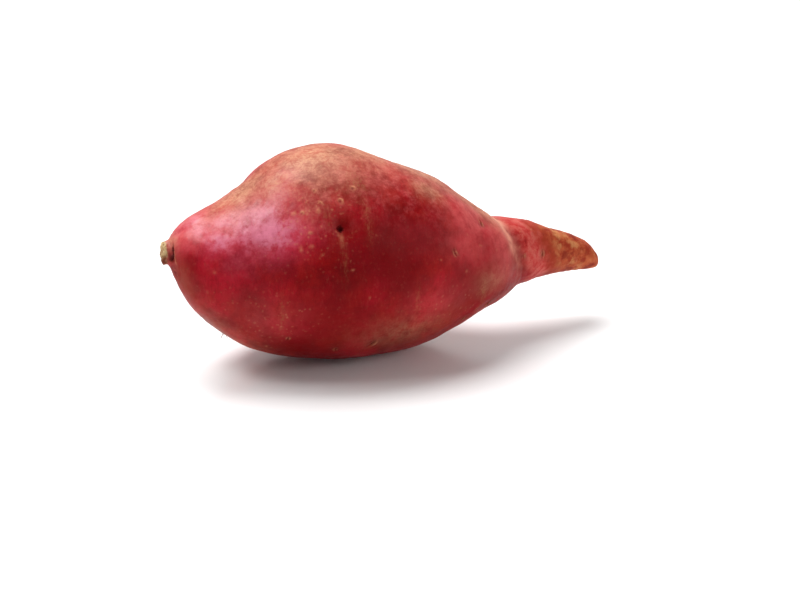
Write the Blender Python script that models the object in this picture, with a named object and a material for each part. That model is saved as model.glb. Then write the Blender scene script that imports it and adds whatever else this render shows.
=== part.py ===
"""A whole raw sweet potato, lying on its belly: one storage root, with its vine scar at -X and its tail at +X.

It starts as a sphere whose rings are moved onto sections along the root. The sections are listed by hand, and
formulas raise and sink the skin into swellings, lumps, furrows, a crease and root scars. Sizes are in millimetres
up to the last step, which makes them metres.
"""

import math
import random

import bmesh
import bpy
import numpy as np

MM = 0.001

# Driving sizes: the length, and the thickness before the belly is pressed flat. The sections are drawn for these two,
# and follow them when they change.
LENGTH = 192.0
THICKNESS = 88.0
DRAWN_LENGTH = 192.0
DRAWN_THICKNESS = 88.0

# Sections from the vine scar to the tail's tip: place along the root, centre across, centre above the surface that
# the root lies on, half width across and half height.
SECTIONS = (
    (-95.2, -4.0, 51.0, 0.0, 0.0),
    (-94.9, -4.0, 51.0, 2.8, 3.0),
    (-93.8, -4.0, 51.0, 4.2, 4.6),
    (-92.4, -4.0, 50.4, 4.8, 5.4),
    (-90.6, -4.0, 49.2, 8.2, 8.7),
    (-88.0, -4.0, 47.3, 12.6, 13.1),
    (-84.0, -3.8, 45.0, 17.2, 18.0),
    (-77.5, -3.4, 42.4, 22.0, 23.0),
    (-69.5, -2.6, 40.9, 27.0, 28.3),
    (-61.0, -1.8, 40.8, 31.8, 33.2),
    (-52.5, -1.0, 42.7, 36.4, 38.4),
    (-43.5, -0.4, 43.9, 39.8, 41.9),
    (-33.0, 0.0, 44.2, 42.0, 43.6),
    (-20.5, 0.4, 43.7, 42.6, 43.8),
    (-8.0, 0.6, 41.8, 41.6, 41.6),
    (5.0, 0.6, 40.4, 39.2, 38.4),
    (17.5, 0.4, 38.8, 35.2, 33.2),
    (28.0, 0.2, 37.4, 30.0, 27.2),
    (36.5, 0.2, 36.2, 24.8, 22.0),
    (43.5, 1.0, 35.4, 20.2, 18.9),
    (49.5, 3.2, 34.8, 16.8, 16.0),
    (55.5, 5.6, 34.9, 14.8, 14.4),
    (62.0, 7.8, 34.7, 13.0, 13.1),
    (70.0, 9.6, 33.5, 11.0, 11.0),
    (78.5, 11.2, 31.8, 9.2, 9.1),
    (86.5, 12.4, 29.8, 7.5, 7.4),
    (92.8, 13.0, 27.5, 5.7, 5.5),
    (96.0, 13.2, 25.6, 3.5, 3.3),
    (96.8, 13.2, 25.0, 0.0, 0.0),
)
RINGS = 78
SIDES = 76

# How the gaps between sections count for the smooth curve through them, and for how many rings each gap gets: as
# their lengths to these powers.
CURVE_POWER = 0.5
RING_POWER = 0.6

# Long swellings: how many go round the root, their height as a share of the radius, and in radians where the first
# one lies and how far it winds round for each millimetre along.
SWELLINGS = ((2, 0.020, 0.5, 0.012), (3, 0.018, 0.3, -0.016), (5, 0.008, 0.7, 0.020))

# Broad lumps and hollows: place along the root, angle, height and width. Angles everywhere are in radians, from the
# back (+Y) over the top.
LUMPS = (
    (-70.0, 3.60, 1.6, 15.0),
    (-48.0, 0.40, -2.0, 15.0),
    (-14.0, 5.60, 1.6, 20.0),
    (4.0, 1.50, -1.4, 11.0),
    (22.0, 1.30, 1.2, 10.0),
    (24.0, 3.40, -1.6, 12.0),
    (20.0, 0.20, 1.4, 12.0),
    (-24.0, 3.90, 1.2, 16.0),
    (70.0, 2.90, -0.7, 7.0),
    (80.0, 2.00, 0.6, 6.0),
)

# The side roots grew in rows along shallow furrows that wind round the root a little.
ROWS = 5
FIRST_ROW = 0.19
ROW_TWIST = 0.0035
FURROW_DEPTH = 0.35
FURROW_ANGLE = 0.18
FURROW_REACH = (-72.0, 42.0)
FURROW_FADE = 26.0

# Each side root left a scar: a shallow pit in the furrow. A seeded rule draws where the scars are and how large each
# one is.
SCAR_SEED = 11
SCARS_PER_ROW = 6
SCAR_REACH = (-76.0, 84.0)
SCAR_SPREAD = 0.12
SCAR_DEPTH = (0.4, 0.9)
SCAR_WIDTH = (3.2, 4.6)
# The deepest scar is in the front of the thickest stretch, and a small one is near the crease: place, angle, depth and
# width. The drawn scars keep clear of the deepest by this much along the root and round it.
DEEP_SCAR = (-32.3, math.radians(150.7), 2.2, 3.8)
SMALL_SCAR = (31.6, math.radians(133.0), 0.6, 2.8)
DEEP_SCAR_CLEAR = (24.0, 0.6)
SCAR_EDGE = 3.0

# The crease where the tail leaves the body runs slantwise round the root, with a low swelling on the tail's side. It
# is deepest at one angle and shallowest opposite.
CREASE_PLACE = 49.0
CREASE_SLANT = 6.0
CREASE_TURN = 1.06
CREASE_DEPTHS = (0.5, 1.8)
CREASE_DEEPEST = 1.9
CREASE_SWELL = 0.25
CREASE_WIDTH = 3.4

# The formulas fade out where the root is thinner than this, at its two ends.
THIN_RADIUS = 9.0

# The root lies on a small flat spot, where this much of its belly is pressed flat.
FLAT_DEPTH = 0.8

SKIN_COLOUR = (0.37, 0.042, 0.058)
SKIN_ROUGHNESS = 0.5
SHARP_ANGLE = math.radians(50.0)


def clear_scene():
    for thing in list(bpy.data.objects):
        bpy.data.objects.remove(thing, do_unlink=True)


def smooth_step(value, start, end):
    share = min(1.0, max(0.0, (value - start) / (end - start)))
    return share * share * (3.0 - 2.0 * share)


def section_curve():
    """A function from a share of the way along the root to the section there, through the list as a smooth curve."""
    points = np.array(SECTIONS)
    gaps = np.linalg.norm(np.diff(points, axis=0), axis=1)
    knots = np.concatenate([[0.0], np.cumsum(gaps**CURVE_POWER)])
    rings = np.concatenate([[0.0], np.cumsum(gaps**RING_POWER)])
    slopes = np.gradient(points, knots, axis=0)
    slopes[[0, -1], 0] = 0.0

    def section(way):
        step = np.interp(way * rings[-1], rings, range(len(points)))
        first = min(int(step), len(points) - 2)
        share = step - first
        gap = knots[first + 1] - knots[first]
        return (
            (1 + 2 * share) * (1 - share) ** 2 * points[first]
            + share * (1 - share) ** 2 * gap * slopes[first]
            + share**2 * (3 - 2 * share) * points[first + 1]
            - share**2 * (1 - share) * gap * slopes[first + 1]
        )

    return section


def row_angle(row, along):
    return FIRST_ROW + row * math.tau / ROWS + ROW_TWIST * along


def angle_between(one, other):
    return (one - other + math.pi) % math.tau - math.pi


def between(pair, share):
    return pair[0] + (pair[1] - pair[0]) * share


def scars():
    """Every root scar as place along the root, angle, depth and width."""
    draw = random.Random(SCAR_SEED)
    found = [DEEP_SCAR, SMALL_SCAR]
    spacing = (SCAR_REACH[1] - SCAR_REACH[0]) / SCARS_PER_ROW
    for row in range(ROWS):
        for count in range(SCARS_PER_ROW):
            along = SCAR_REACH[0] + spacing * (count + draw.uniform(0.1, 0.9))
            angle = row_angle(row, along) + draw.uniform(-SCAR_SPREAD, SCAR_SPREAD)
            size = draw.random()
            near_along = abs(along - DEEP_SCAR[0]) < DEEP_SCAR_CLEAR[0]
            near_angle = abs(angle_between(angle, DEEP_SCAR[1])) < DEEP_SCAR_CLEAR[1]
            if not (near_along and near_angle):
                found.append((along, angle, between(SCAR_DEPTH, size), between(SCAR_WIDTH, size)))
    return found


def swelling(along, angle):
    """How much wider the root is here than its section says, as a share."""
    return sum(height * math.cos(waves * angle + turn + twist * along) for waves, height, turn, twist in SWELLINGS)


def lump_lift(along, angle, radius):
    lift = 0.0
    for place, lump_angle, height, width in LUMPS:
        off = math.hypot(along - place, radius * angle_between(angle, lump_angle)) / width
        lift += height * math.exp(-off * off)
    return lift


def furrow_lift(along, angle):
    low, high = FURROW_REACH
    shown = smooth_step(along, low, low + FURROW_FADE) * smooth_step(-along, -high, FURROW_FADE - high)
    lift = 0.0
    for row in range(ROWS):
        off = angle_between(angle, row_angle(row, along)) / FURROW_ANGLE
        lift -= FURROW_DEPTH * math.exp(-off * off)
    return lift * shown


def scar_lift(along, angle, radius, all_scars):
    lift = 0.0
    for place, scar_angle, depth, width in all_scars:
        off = math.hypot(along - place, radius * angle_between(angle, scar_angle)) / width
        if off < SCAR_EDGE:
            lift -= depth * math.exp(-off * off)
    return lift


def crease_lift(along, angle):
    place = CREASE_PLACE - CREASE_SLANT * math.cos(angle - CREASE_TURN)
    depth = between(CREASE_DEPTHS, (1 + math.cos(angle - CREASE_DEEPEST)) / 2)
    off = (along - place) / CREASE_WIDTH
    return depth * (CREASE_SWELL * math.exp(-((off - 2.0) ** 2)) - math.exp(-off * off))


def shape_skin(mesh):
    """Moves each point of a unit sphere, whose poles become the root's two ends, to its place on the skin."""
    section = section_curve()
    all_scars = scars()
    for vert in mesh.verts:
        pole_angle = math.acos(max(-1.0, min(1.0, -vert.co.z)))
        angle = math.atan2(vert.co.y, vert.co.x)
        along, across, up, half_width, half_height = section(pole_angle / math.pi)
        radius = (half_width + half_height) / 2
        shown = smooth_step(radius, 0.0, THIN_RADIUS)
        lift = lump_lift(along, angle, radius) + furrow_lift(along, angle) + crease_lift(along, angle)
        lift = shown * (lift + scar_lift(along, angle, radius, all_scars))
        share = 1 + shown * swelling(along, angle)
        vert.co = (
            along * LENGTH / DRAWN_LENGTH,
            (across + (half_width * share + lift) * math.cos(angle)) * THICKNESS / DRAWN_THICKNESS,
            (up + (half_height * share + lift) * math.sin(angle)) * THICKNESS / DRAWN_THICKNESS,
        )


def flatten_belly(mesh):
    """Cuts the lowest part of the belly off level, so that the root rests on a small flat spot."""
    level = min(vert.co.z for vert in mesh.verts) + FLAT_DEPTH
    bmesh.ops.bisect_plane(
        mesh,
        geom=mesh.verts[:] + mesh.edges[:] + mesh.faces[:],
        plane_co=(0.0, 0.0, level),
        plane_no=(0.0, 0.0, -1.0),
        clear_outer=True,
    )
    rim = [edge for edge in mesh.edges if edge.is_boundary]
    bmesh.ops.contextual_create(mesh, geom=rim)


def stand_at_origin(mesh):
    """Puts the origin under the middle of the root's box, on the surface that it lies on, and makes it metres."""
    corners = np.array([vert.co for vert in mesh.verts])
    low, high = corners.min(axis=0), corners.max(axis=0)
    middle = ((low[0] + high[0]) / 2, (low[1] + high[1]) / 2, low[2])
    bmesh.ops.translate(mesh, verts=mesh.verts, vec=[-place for place in middle])
    bmesh.ops.scale(mesh, verts=mesh.verts, vec=(MM, MM, MM))


def skin_material():
    material = bpy.data.materials.new("sweet_potato_skin")
    material.use_nodes = True
    shader = material.node_tree.nodes["Principled BSDF"]
    shader.inputs["Base Color"].default_value = (*SKIN_COLOUR, 1.0)
    shader.inputs["Roughness"].default_value = SKIN_ROUGHNESS
    shader.inputs["Metallic"].default_value = 0.0
    return material


def make_root(collection):
    mesh = bmesh.new()
    bmesh.ops.create_uvsphere(mesh, u_segments=SIDES, v_segments=RINGS, radius=1.0)
    shape_skin(mesh)
    flatten_belly(mesh)
    stand_at_origin(mesh)
    data = bpy.data.meshes.new("sweet_potato")
    mesh.to_mesh(data)
    mesh.free()
    data.shade_smooth()
    data.set_sharp_from_angle(angle=SHARP_ANGLE)
    data.materials.append(skin_material())
    root = bpy.data.objects.new("sweet_potato", data)
    collection.objects.link(root)


def main():
    clear_scene()
    collection = bpy.data.collections.new("Sweet potato")
    bpy.context.scene.collection.children.link(collection)
    make_root(collection)


main()
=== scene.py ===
"""The looks of the sweet potato: a fine skin with a procedural finish, root hairs, floor, camera and light.

Lengths in the relief are in millimetres, and the finished meshes are in metres. A place on the root is how
far along it lies, measured as in the solid's own sections, and the angle round the root from its back (+Y)
over the top.
"""

import math
import random

import bmesh
import bpy
import numpy as np
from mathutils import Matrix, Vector, noise
from mathutils.bvhtree import BVHTree


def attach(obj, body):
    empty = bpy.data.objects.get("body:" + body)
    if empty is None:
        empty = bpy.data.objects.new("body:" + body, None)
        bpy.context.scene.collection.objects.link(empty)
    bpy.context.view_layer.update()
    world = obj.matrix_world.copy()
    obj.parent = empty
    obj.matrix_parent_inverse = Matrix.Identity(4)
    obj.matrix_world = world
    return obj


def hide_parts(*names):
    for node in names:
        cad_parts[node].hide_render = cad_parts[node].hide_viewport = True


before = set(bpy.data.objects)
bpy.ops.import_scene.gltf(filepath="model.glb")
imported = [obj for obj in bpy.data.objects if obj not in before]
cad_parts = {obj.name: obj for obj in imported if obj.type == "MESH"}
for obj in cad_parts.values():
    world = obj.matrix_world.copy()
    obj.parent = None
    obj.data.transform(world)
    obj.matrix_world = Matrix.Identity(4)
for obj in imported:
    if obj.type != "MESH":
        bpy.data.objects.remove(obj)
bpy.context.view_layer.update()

MM = 0.001
NODE = "sweet_potato"
BODY = "root"

# The solid's sections run from the vine scar to the tail, and the frame's X is this far behind their places.
SECTION_SHIFT = 0.8

# The skin's mesh: a smooth surface through the solid's, laid over with faces of an even size.
WELD = 1e-6
QUAD_ANGLE = math.radians(60.0)
DIVISIONS = 2
FACE_SIZE = 1.0
RELAX_SHARE = 0.5
RELAX_ROUNDS = 4
LINE_STEP = 3.0
LINE_SMOOTHING = 3

# How far round each mark the mesh is made finer: round slits from the smallest scar to the largest, and
# round the hole one time after another. The vine's end is finer as far along as FINE_END.
FINE_MARGIN = 1.2
FINE_SLIT = (2.2, 3.8)
FINE_RING = 2.5
FINE_HOLE = (6.0, 3.0, 2.5, 1.8)
FINE_CREVICE = 3.5
FINE_CREASE = 3.5
FINE_END = -86.0

# Noises of the relief: size in millimetres, one or one for each axis, and seed.
NOISES = {
    "grain": ((26.0, 3.2, 3.2), 7),
    "breaks": (9.0, 11),
    "wrinkles": (15.0, 12),
    "ragged": (1.3, 13),
    "cork": ((3.0, 1.6, 1.6), 14),
    "torn": (0.55, 15),
    "crease": (5.0, 16),
    "tip": (7.0, 17),
    "waver": (6.0, 18),
}
NOISE_LAYERS = 3

# How far the next seed's noise lies from the last one's, in sizes.
NOISE_SHIFT = (17.3, -9.1, 5.7)

# Unevenness: size of the noise and its height, the height of the long grain, and how far patches waver.
UNEVEN = ((26.0, 0.60), (10.0, 0.22), (3.6, 0.06))
GRAIN_HEIGHT = 0.06
PATCH_WAVER = 0.9

# Broken rings of fine wrinkles: middle, reach, spacing and depth.
WRINKLES = (
    (-84.0, 8.0, 2.6, 0.16),
    (-62.0, 10.0, 4.6, 0.14),
    (-8.0, 26.0, 8.0, 0.06),
    (44.0, 9.0, 3.6, 0.14),
    (60.0, 9.0, 3.2, 0.20),
    (80.0, 15.0, 3.8, 0.24),
)
WRINKLE_BREAKS = (-0.15, 0.45)
WRINKLE_WAVER = 4.0
WRINKLE_SHARPNESS = 3

# Root scars lie in rows, by the same seeded rule as the solid's dimples.
ROWS = 5
FIRST_ROW = 0.19
ROW_TWIST = 0.0035
SCAR_SEED = 11
SCARS_PER_ROW = 6
SCAR_REACH = (-76.0, 84.0)
SCAR_WANDER = (0.1, 0.9)
SCAR_SPREAD = 0.12
DEEP_SCAR = (-32.3, math.radians(150.7))
SMALL_SCAR = (31.6, math.radians(133.0), 0.3)
DEEP_SCAR_CLEAR = (24.0, 0.6)

# A scar is a ragged slit across the root: half sizes, depth and darkness, smallest scar to largest.
SLIT_LENGTH = (0.7, 2.0)
SLIT_WIDTH = (0.3, 0.55)
SLIT_DEPTH = (0.25, 0.75)
# The slits' darkness is partly the scars' own colour and partly painted shade in the slit.
SLIT_DARKNESS = (0.25, 0.70)
SLIT_SLANT = 0.45
SLIT_BEND = 0.12
SLIT_RAGGED = 0.5
SLIT_TORN = 0.3

# Its raised lips: height from smallest to largest, and place, width and length in sizes of the slit.
LIP_HEIGHT = (0.06, 0.22)
LIP_PLACE = 1.8
LIP_WIDTH = 1.1
LIP_LENGTH = 1.2
LIP_UNEVEN = 0.8
LIP_RAGGED = 0.9
LIP_PALENESS = 0.45

# The brown stain round it, in sizes of the slit.
STAIN_WIDTH = 4.0
STAIN_LENGTH = 1.5
STAIN_RAGGED = 0.3
STAIN_SHARE = 0.8

# The deep scar is a small ragged hole, a little taller than wide. Its darkness is painted shade in the hole,
# and its reach is in radii.
HOLE_RADIUS = 0.9
HOLE_DEPTH = 1.05
HOLE_EDGE = 0.7
HOLE_DROP = 0.25
HOLE_FLATTENING = 0.85
HOLE_RAGGED = 0.25
HOLE_TORN = 0.2
HOLE_DARKNESS = 0.95
HOLE_DARK_REACH = (0.4, 1.9)

# The painted shade above and beside the hole: place from the hole, reach, flattening along and round, and
# strength.
SHADE_PLACE = (1.1, -1.0)
SHADE_REACH = 2.6
SHADE_FLATTENING = (0.75, 0.9)
SHADE_SHARE = 0.85
SHADE_POWER = 0.7

# The rust below the hole: place from the hole, reach and strength. It is as ragged as the shade.
HOLE_RUST_PLACE = (-0.1, 4.0)
HOLE_RUST_REACH = (0.9, 1.9)
HOLE_RUST_SHARE = 0.45
BLOT_RAGGED = 0.5

# The fine pale line that runs down beside the hole. It begins and ends softly, this far below the hole.
LINE_PLACE = -1.3
LINE_SLANT = 0.15
LINE_WIDTH = 0.5
LINE_RAGGED = 0.6
LINE_BEGINS = (0.9, 2.0)
LINE_ENDS = (3.0, 10.0)
LINE_SHARE = 0.35

# Small raised corky spots. The first are where the photo shows them, and a seeded draw spreads the rest.
SPOTS_SEEN = ((-48.4, 2.40), (-39.7, 2.45), (-43.8, 2.64), (-43.8, 2.77), (-47.8, 2.77))
SPOT_SEEN_RADIUS = 0.75
SPOT_SEED = 5
SPOT_COUNT = 170
SPOT_REACH = (-84.0, 90.0)
SPOT_RADIUS = (0.25, 0.6)
SPOT_STRETCH = (0.6, 1.3)
SPOT_HEIGHT = 0.16
SPOT_PALENESS = (0.3, 0.75)
SPOT_RAGGED = 0.5
SPOT_TORN = 0.3

# Lenticels are corky rings, broken towards the lower left: place, angle and radius.
RINGS = (
    (-30.7, 2.39, 1.0),
    (-24.8, 2.27, 0.9),
    (-39.6, 2.24, 0.55),
    (-45.6, 2.43, 0.6),
    (-38.4, 2.38, 0.5),
)
RING_WIDTH = 0.42
RING_TURN = math.pi / 4
RING_HEIGHT = 0.16
RING_SHARES = (0.1, 1.0)
RING_RAGGED = 0.15
RING_STAIN_REACH = 0.8
RING_STAIN_SHARE = 0.7

# The crease where the tail leaves the body, as in the solid, and the painted highlight band on its body
# side.
CREASE_PLACE = 49.0
CREASE_SLANT = 6.0
CREASE_TURN = 1.06
CREASE_WAVER = 0.7
CREASE_RAGGED = 0.25
BAND_TURN = 1.9
BAND_SHARPNESS = 4
BAND_PLACE = -1.5
BAND_WIDTH = 3.0

# How far past the crease the tail's own colour, its tip's colour and the tip's blotches begin.
TAIL_BEGINS = (-2.0, 8.0)
TAIL_WAVER = 2.0
TIP_BEGINS = (10.0, 19.0)
BLOTCHES_BEGIN = (17.0, 26.0)
TIP_WAVER = 3.0

# The crevice behind the stub: place, angle and reach. Its width grows as the angle turns.
CREVICE = (-91.9, 2.70, 0.70)
CREVICE_SLANT = -0.9
CREVICE_DEPTH = 0.9
CREVICE_WIDTH = (0.18, 0.42)
CREVICE_TURNS = (-0.4, 0.4)
CREVICE_RAGGED = 0.2
CREVICE_TORN = 0.1
# The crevice's darkness and the shade beside it are painted shade.
CREVICE_DARKNESS = 0.9
CREVICE_SHADE = 0.7
CREVICE_SHADE_WIDTH = 1.7

# The gap between stub and crevice, dark with painted shade, and a bruise beside them: place, angle, reach
# along and round.
GAP_PLACE = -92.8
GAP_WIDTH = 0.7
GAP_TURNS = (-0.5, 0.2)
GAP_SHADE = 0.8
BRUISE = (-91.6, 3.8, 1.1, 2.0)
BRUISE_BREAKS = (-0.5, 0.1)
BRUISE_SHADE = 0.8

# The fold behind the crevice: place, angle and reach.
FOLD = (-91.4, 2.85, 0.45)
FOLD_BEND = 3.0
FOLD_WIDTH = 0.2
FOLD_HEIGHT = 0.3
FOLD_RAGGED = 0.1
FOLD_PALENESS = 0.7

# The corky vine scar at the end, with its heel, ring and core: angle or radius, reach and height.
STUB_END = (-94.1, -93.4)
STUB_RAGGED = 0.35
STUB_RISE = 0.3
STUB_ROUGHNESS = 0.5
STUB_HEEL = (4.0, 0.8, 0.8)
STUB_RING = (2.0, 0.6, 0.25)
STUB_CORE = (0.0, 0.9, -0.5)
RUST_ANGLES = (2.4, 3.2)
RUST_PLACES = (-95.4, -94.6)
RUST_IN_CORE = 0.6

# Dust and painted light: the skin is paler on top and at the back, by how far it faces that way.
DUST_AND_LIGHT_FACING_UP = (0.1, 0.95)
DUST_AND_LIGHT_FACING_BACK = (0.1, 0.8)
DUST_AND_LIGHT_SHARES = (0.03, 1.0)
DUST_AND_LIGHT_BACK_SHARE = 0.75


def smooth_step(value, start, end):
    share = np.clip((value - start) / (end - start), 0.0, 1.0)
    return share * share * (3.0 - 2.0 * share)


def between(pair, share):
    return pair[0] + (pair[1] - pair[0]) * share


def bell(offset):
    return np.exp(-offset * offset)


def angle_between(one, other):
    return (one - other + math.pi) % math.tau - math.pi


def near_angle(turn, reach):
    """One up to half the reach, and from there it fades to none at the whole reach."""
    return smooth_step(-np.abs(turn), -reach, -reach / 2)


def noise_at(points, size, seed):
    """Smooth noise, mostly from -1 to 1, with features of this size, or of one size for each axis."""
    shift = Vector([seed * part for part in NOISE_SHIFT])
    places = points / np.array(size)
    return np.array([noise.fractal(Vector(place) + shift, 1.0, 2.0, NOISE_LAYERS) for place in places])


def points_of(mesh):
    return np.array([vert.co for vert in mesh.verts]) / MM


class MiddleLine:
    """The root's middle and its half widths across and up, from the area of one slice after another."""

    def __init__(self, points):
        low, high = points[:, 0].min(), points[:, 0].max()
        places, rows = [], []
        for place in np.arange(low + LINE_STEP, high - LINE_STEP, LINE_STEP):
            ring = points[np.abs(points[:, 0] - place) < LINE_STEP / 2, 1:]
            places.append(place)
            rows.append(self.moments(ring))
        pad = LINE_SMOOTHING // 2
        rows = np.array([rows[0]] * pad + rows + [rows[-1]] * pad)
        window = np.ones(LINE_SMOOTHING) / LINE_SMOOTHING
        self.places = places
        self.columns = [np.convolve(column, window, mode="valid") for column in rows.T]

    @staticmethod
    def moments(ring):
        """The area's centre across and up, and the half widths of the ellipse with equal second moments."""
        rough = (ring.min(axis=0) + ring.max(axis=0)) / 2
        ring = ring - rough
        ring = ring[np.argsort(np.arctan2(ring[:, 1], ring[:, 0]))]
        following = np.roll(ring, -1, axis=0)
        cross = (ring[:, 0] * following[:, 1] - ring[:, 1] * following[:, 0])[:, None]
        centre = ((ring + following) * cross).sum(axis=0) / (3 * cross.sum())
        second = ((ring**2 + ring * following + following**2) * cross).sum(axis=0) / (6 * cross.sum())
        return (*(centre + rough), *(2 * np.sqrt(second - centre**2)))

    def at(self, places):
        return [np.interp(places, self.places, column) for column in self.columns]


class Skin:
    """The skin's points, with where each one lies on the root, in millimetres and radians."""

    def __init__(self, mesh, line):
        self.points = points_of(mesh)
        self.normals = np.array([vert.normal for vert in mesh.verts])
        middle_across, middle_up, half_width, half_height = line.at(self.points[:, 0])
        across = (self.points[:, 1] - middle_across) / half_width
        up = (self.points[:, 2] - middle_up) / half_height
        self.along = self.points[:, 0] + SECTION_SHIFT
        self.angle = np.arctan2(up, across)
        self.radius = np.hypot(up, across) * (half_width + half_height) / 2

    def noise(self, name):
        return noise_at(self.points, *NOISES[name])

    def off(self, along, angle):
        """How far each point is from a place on the skin, along the root and round it."""
        return self.along - along, self.radius * angle_between(self.angle, angle)

    def off_turned(self, along, angle, turn):
        """The same, but along two directions that are turned on the skin by this angle."""
        off_along, off_round = self.off(along, angle)
        one = off_along * math.cos(turn) + off_round * math.sin(turn)
        other = off_round * math.cos(turn) - off_along * math.sin(turn)
        return one, other

    def off_crease(self):
        """How far past the crease each point is, towards the tail."""
        return self.along - CREASE_PLACE + CREASE_SLANT * np.cos(self.angle - CREASE_TURN)


def scars():
    """The root scars but the deep one, as place along the root, angle and size from 0 to 1."""
    draw = random.Random(SCAR_SEED)
    found = [SMALL_SCAR]
    spacing = (SCAR_REACH[1] - SCAR_REACH[0]) / SCARS_PER_ROW
    for row in range(ROWS):
        for count in range(SCARS_PER_ROW):
            along = SCAR_REACH[0] + spacing * (count + draw.uniform(*SCAR_WANDER))
            angle = FIRST_ROW + row * math.tau / ROWS + ROW_TWIST * along
            angle += draw.uniform(-SCAR_SPREAD, SCAR_SPREAD)
            size = draw.random()
            beside = abs(along - DEEP_SCAR[0]) < DEEP_SCAR_CLEAR[0]
            around = abs(angle_between(angle, DEEP_SCAR[1])) < DEEP_SCAR_CLEAR[1]
            if not (beside and around):
                found.append((along, angle, size))
    return found


def spots():
    """The corky spots as place along the root, angle and radius."""
    draw = random.Random(SPOT_SEED)
    found = [(along, angle, SPOT_SEEN_RADIUS) for along, angle in SPOTS_SEEN]
    for _ in range(SPOT_COUNT):
        place = (draw.uniform(*SPOT_REACH), draw.uniform(0.0, math.tau))
        found.append((*place, draw.uniform(*SPOT_RADIUS)))
    return found


def smooth_cage():
    """The solid's surface in four-sided faces, divided into a smooth one, as an object."""
    cage = bmesh.new()
    cage.from_mesh(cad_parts[NODE].data)
    bmesh.ops.remove_doubles(cage, verts=cage.verts, dist=WELD)
    bmesh.ops.join_triangles(
        cage, faces=cage.faces, angle_face_threshold=QUAD_ANGLE, angle_shape_threshold=QUAD_ANGLE
    )
    data = bpy.data.meshes.new("cage")
    cage.to_mesh(data)
    cage.free()
    carrier = bpy.data.objects.new("cage", data)
    bpy.context.scene.collection.objects.link(carrier)
    divide = carrier.modifiers.new("divide", "SUBSURF")
    divide.levels = divide.render_levels = DIVISIONS
    return carrier


def evaluated_mesh(carrier):
    evaluated = carrier.evaluated_get(bpy.context.evaluated_depsgraph_get())
    return bpy.data.meshes.new_from_object(evaluated)


def even_mesh():
    """A mesh of even faces that lies on the smooth surface, as a bmesh, and the root's middle line."""
    cage = smooth_cage()
    target = bpy.data.objects.new("target", evaluated_mesh(cage))
    bpy.context.scene.collection.objects.link(target)
    remesh = cage.modifiers.new("even", "REMESH")
    remesh.mode = "VOXEL"
    remesh.voxel_size = FACE_SIZE * MM
    relax = cage.modifiers.new("relax", "SMOOTH")
    relax.factor = RELAX_SHARE
    relax.iterations = RELAX_ROUNDS
    wrap = cage.modifiers.new("wrap", "SHRINKWRAP")
    wrap.target = target
    wrap.wrap_method = "NEAREST_SURFACEPOINT"
    bpy.context.view_layer.update()
    even = evaluated_mesh(cage)
    mesh = bmesh.new()
    mesh.from_mesh(even)
    for carrier in (cage, target):
        data = carrier.data
        bpy.data.objects.remove(carrier)
        bpy.data.meshes.remove(data)
    bpy.data.meshes.remove(even)
    return mesh, MiddleLine(points_of(mesh))


def near_places(skin, places):
    """Which of the skin's points lie within each place's own reach."""
    near = np.zeros(len(skin.along), bool)
    for along, angle, reach in places:
        near |= np.hypot(*skin.off(along, angle)) < reach
    return near


def near_end_or_crease(skin):
    return (skin.along < FINE_END) | (np.abs(skin.off_crease()) < FINE_CREASE)


def refine(mesh, line, wanted, *places):
    """Divides once the faces whose corners are all wanted, by a function of the skin and these places."""
    near = wanted(Skin(mesh, line), *places)
    mesh.verts.ensure_lookup_table()
    chosen = [edge for edge in mesh.edges if near[edge.verts[0].index] and near[edge.verts[1].index]]
    bmesh.ops.subdivide_edges(
        mesh, edges=chosen, cuts=1, smooth=1.0, smooth_falloff="SMOOTH", use_grid_fill=True
    )
    mesh.normal_update()
    mesh.verts.index_update()


def refine_marks(mesh, line):
    """Makes the mesh finer wherever the relief has small forms, the more so the smaller they are."""
    dots = [(along, angle, FINE_MARGIN + 2 * radius) for along, angle, radius in spots()]
    slits = [(along, angle, between(FINE_SLIT, size)) for along, angle, size in scars()]
    rings = [(along, angle, FINE_RING) for along, angle, _ in RINGS]
    narrow_rings = [(along, angle, FINE_MARGIN + radius) for along, angle, radius in RINGS]
    first_hole, second_hole, third_hole, last_hole = [(*DEEP_SCAR, reach) for reach in FINE_HOLE]
    crevice = (*CREVICE[:2], FINE_CREVICE)
    refine(mesh, line, near_places, dots + slits + rings)
    refine(mesh, line, near_places, [first_hole])
    refine(mesh, line, near_end_or_crease)
    refine(mesh, line, near_places, slits + narrow_rings + [second_hole])
    refine(mesh, line, near_places, [third_hole, crevice])
    refine(mesh, line, near_places, [last_hole])


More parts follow.
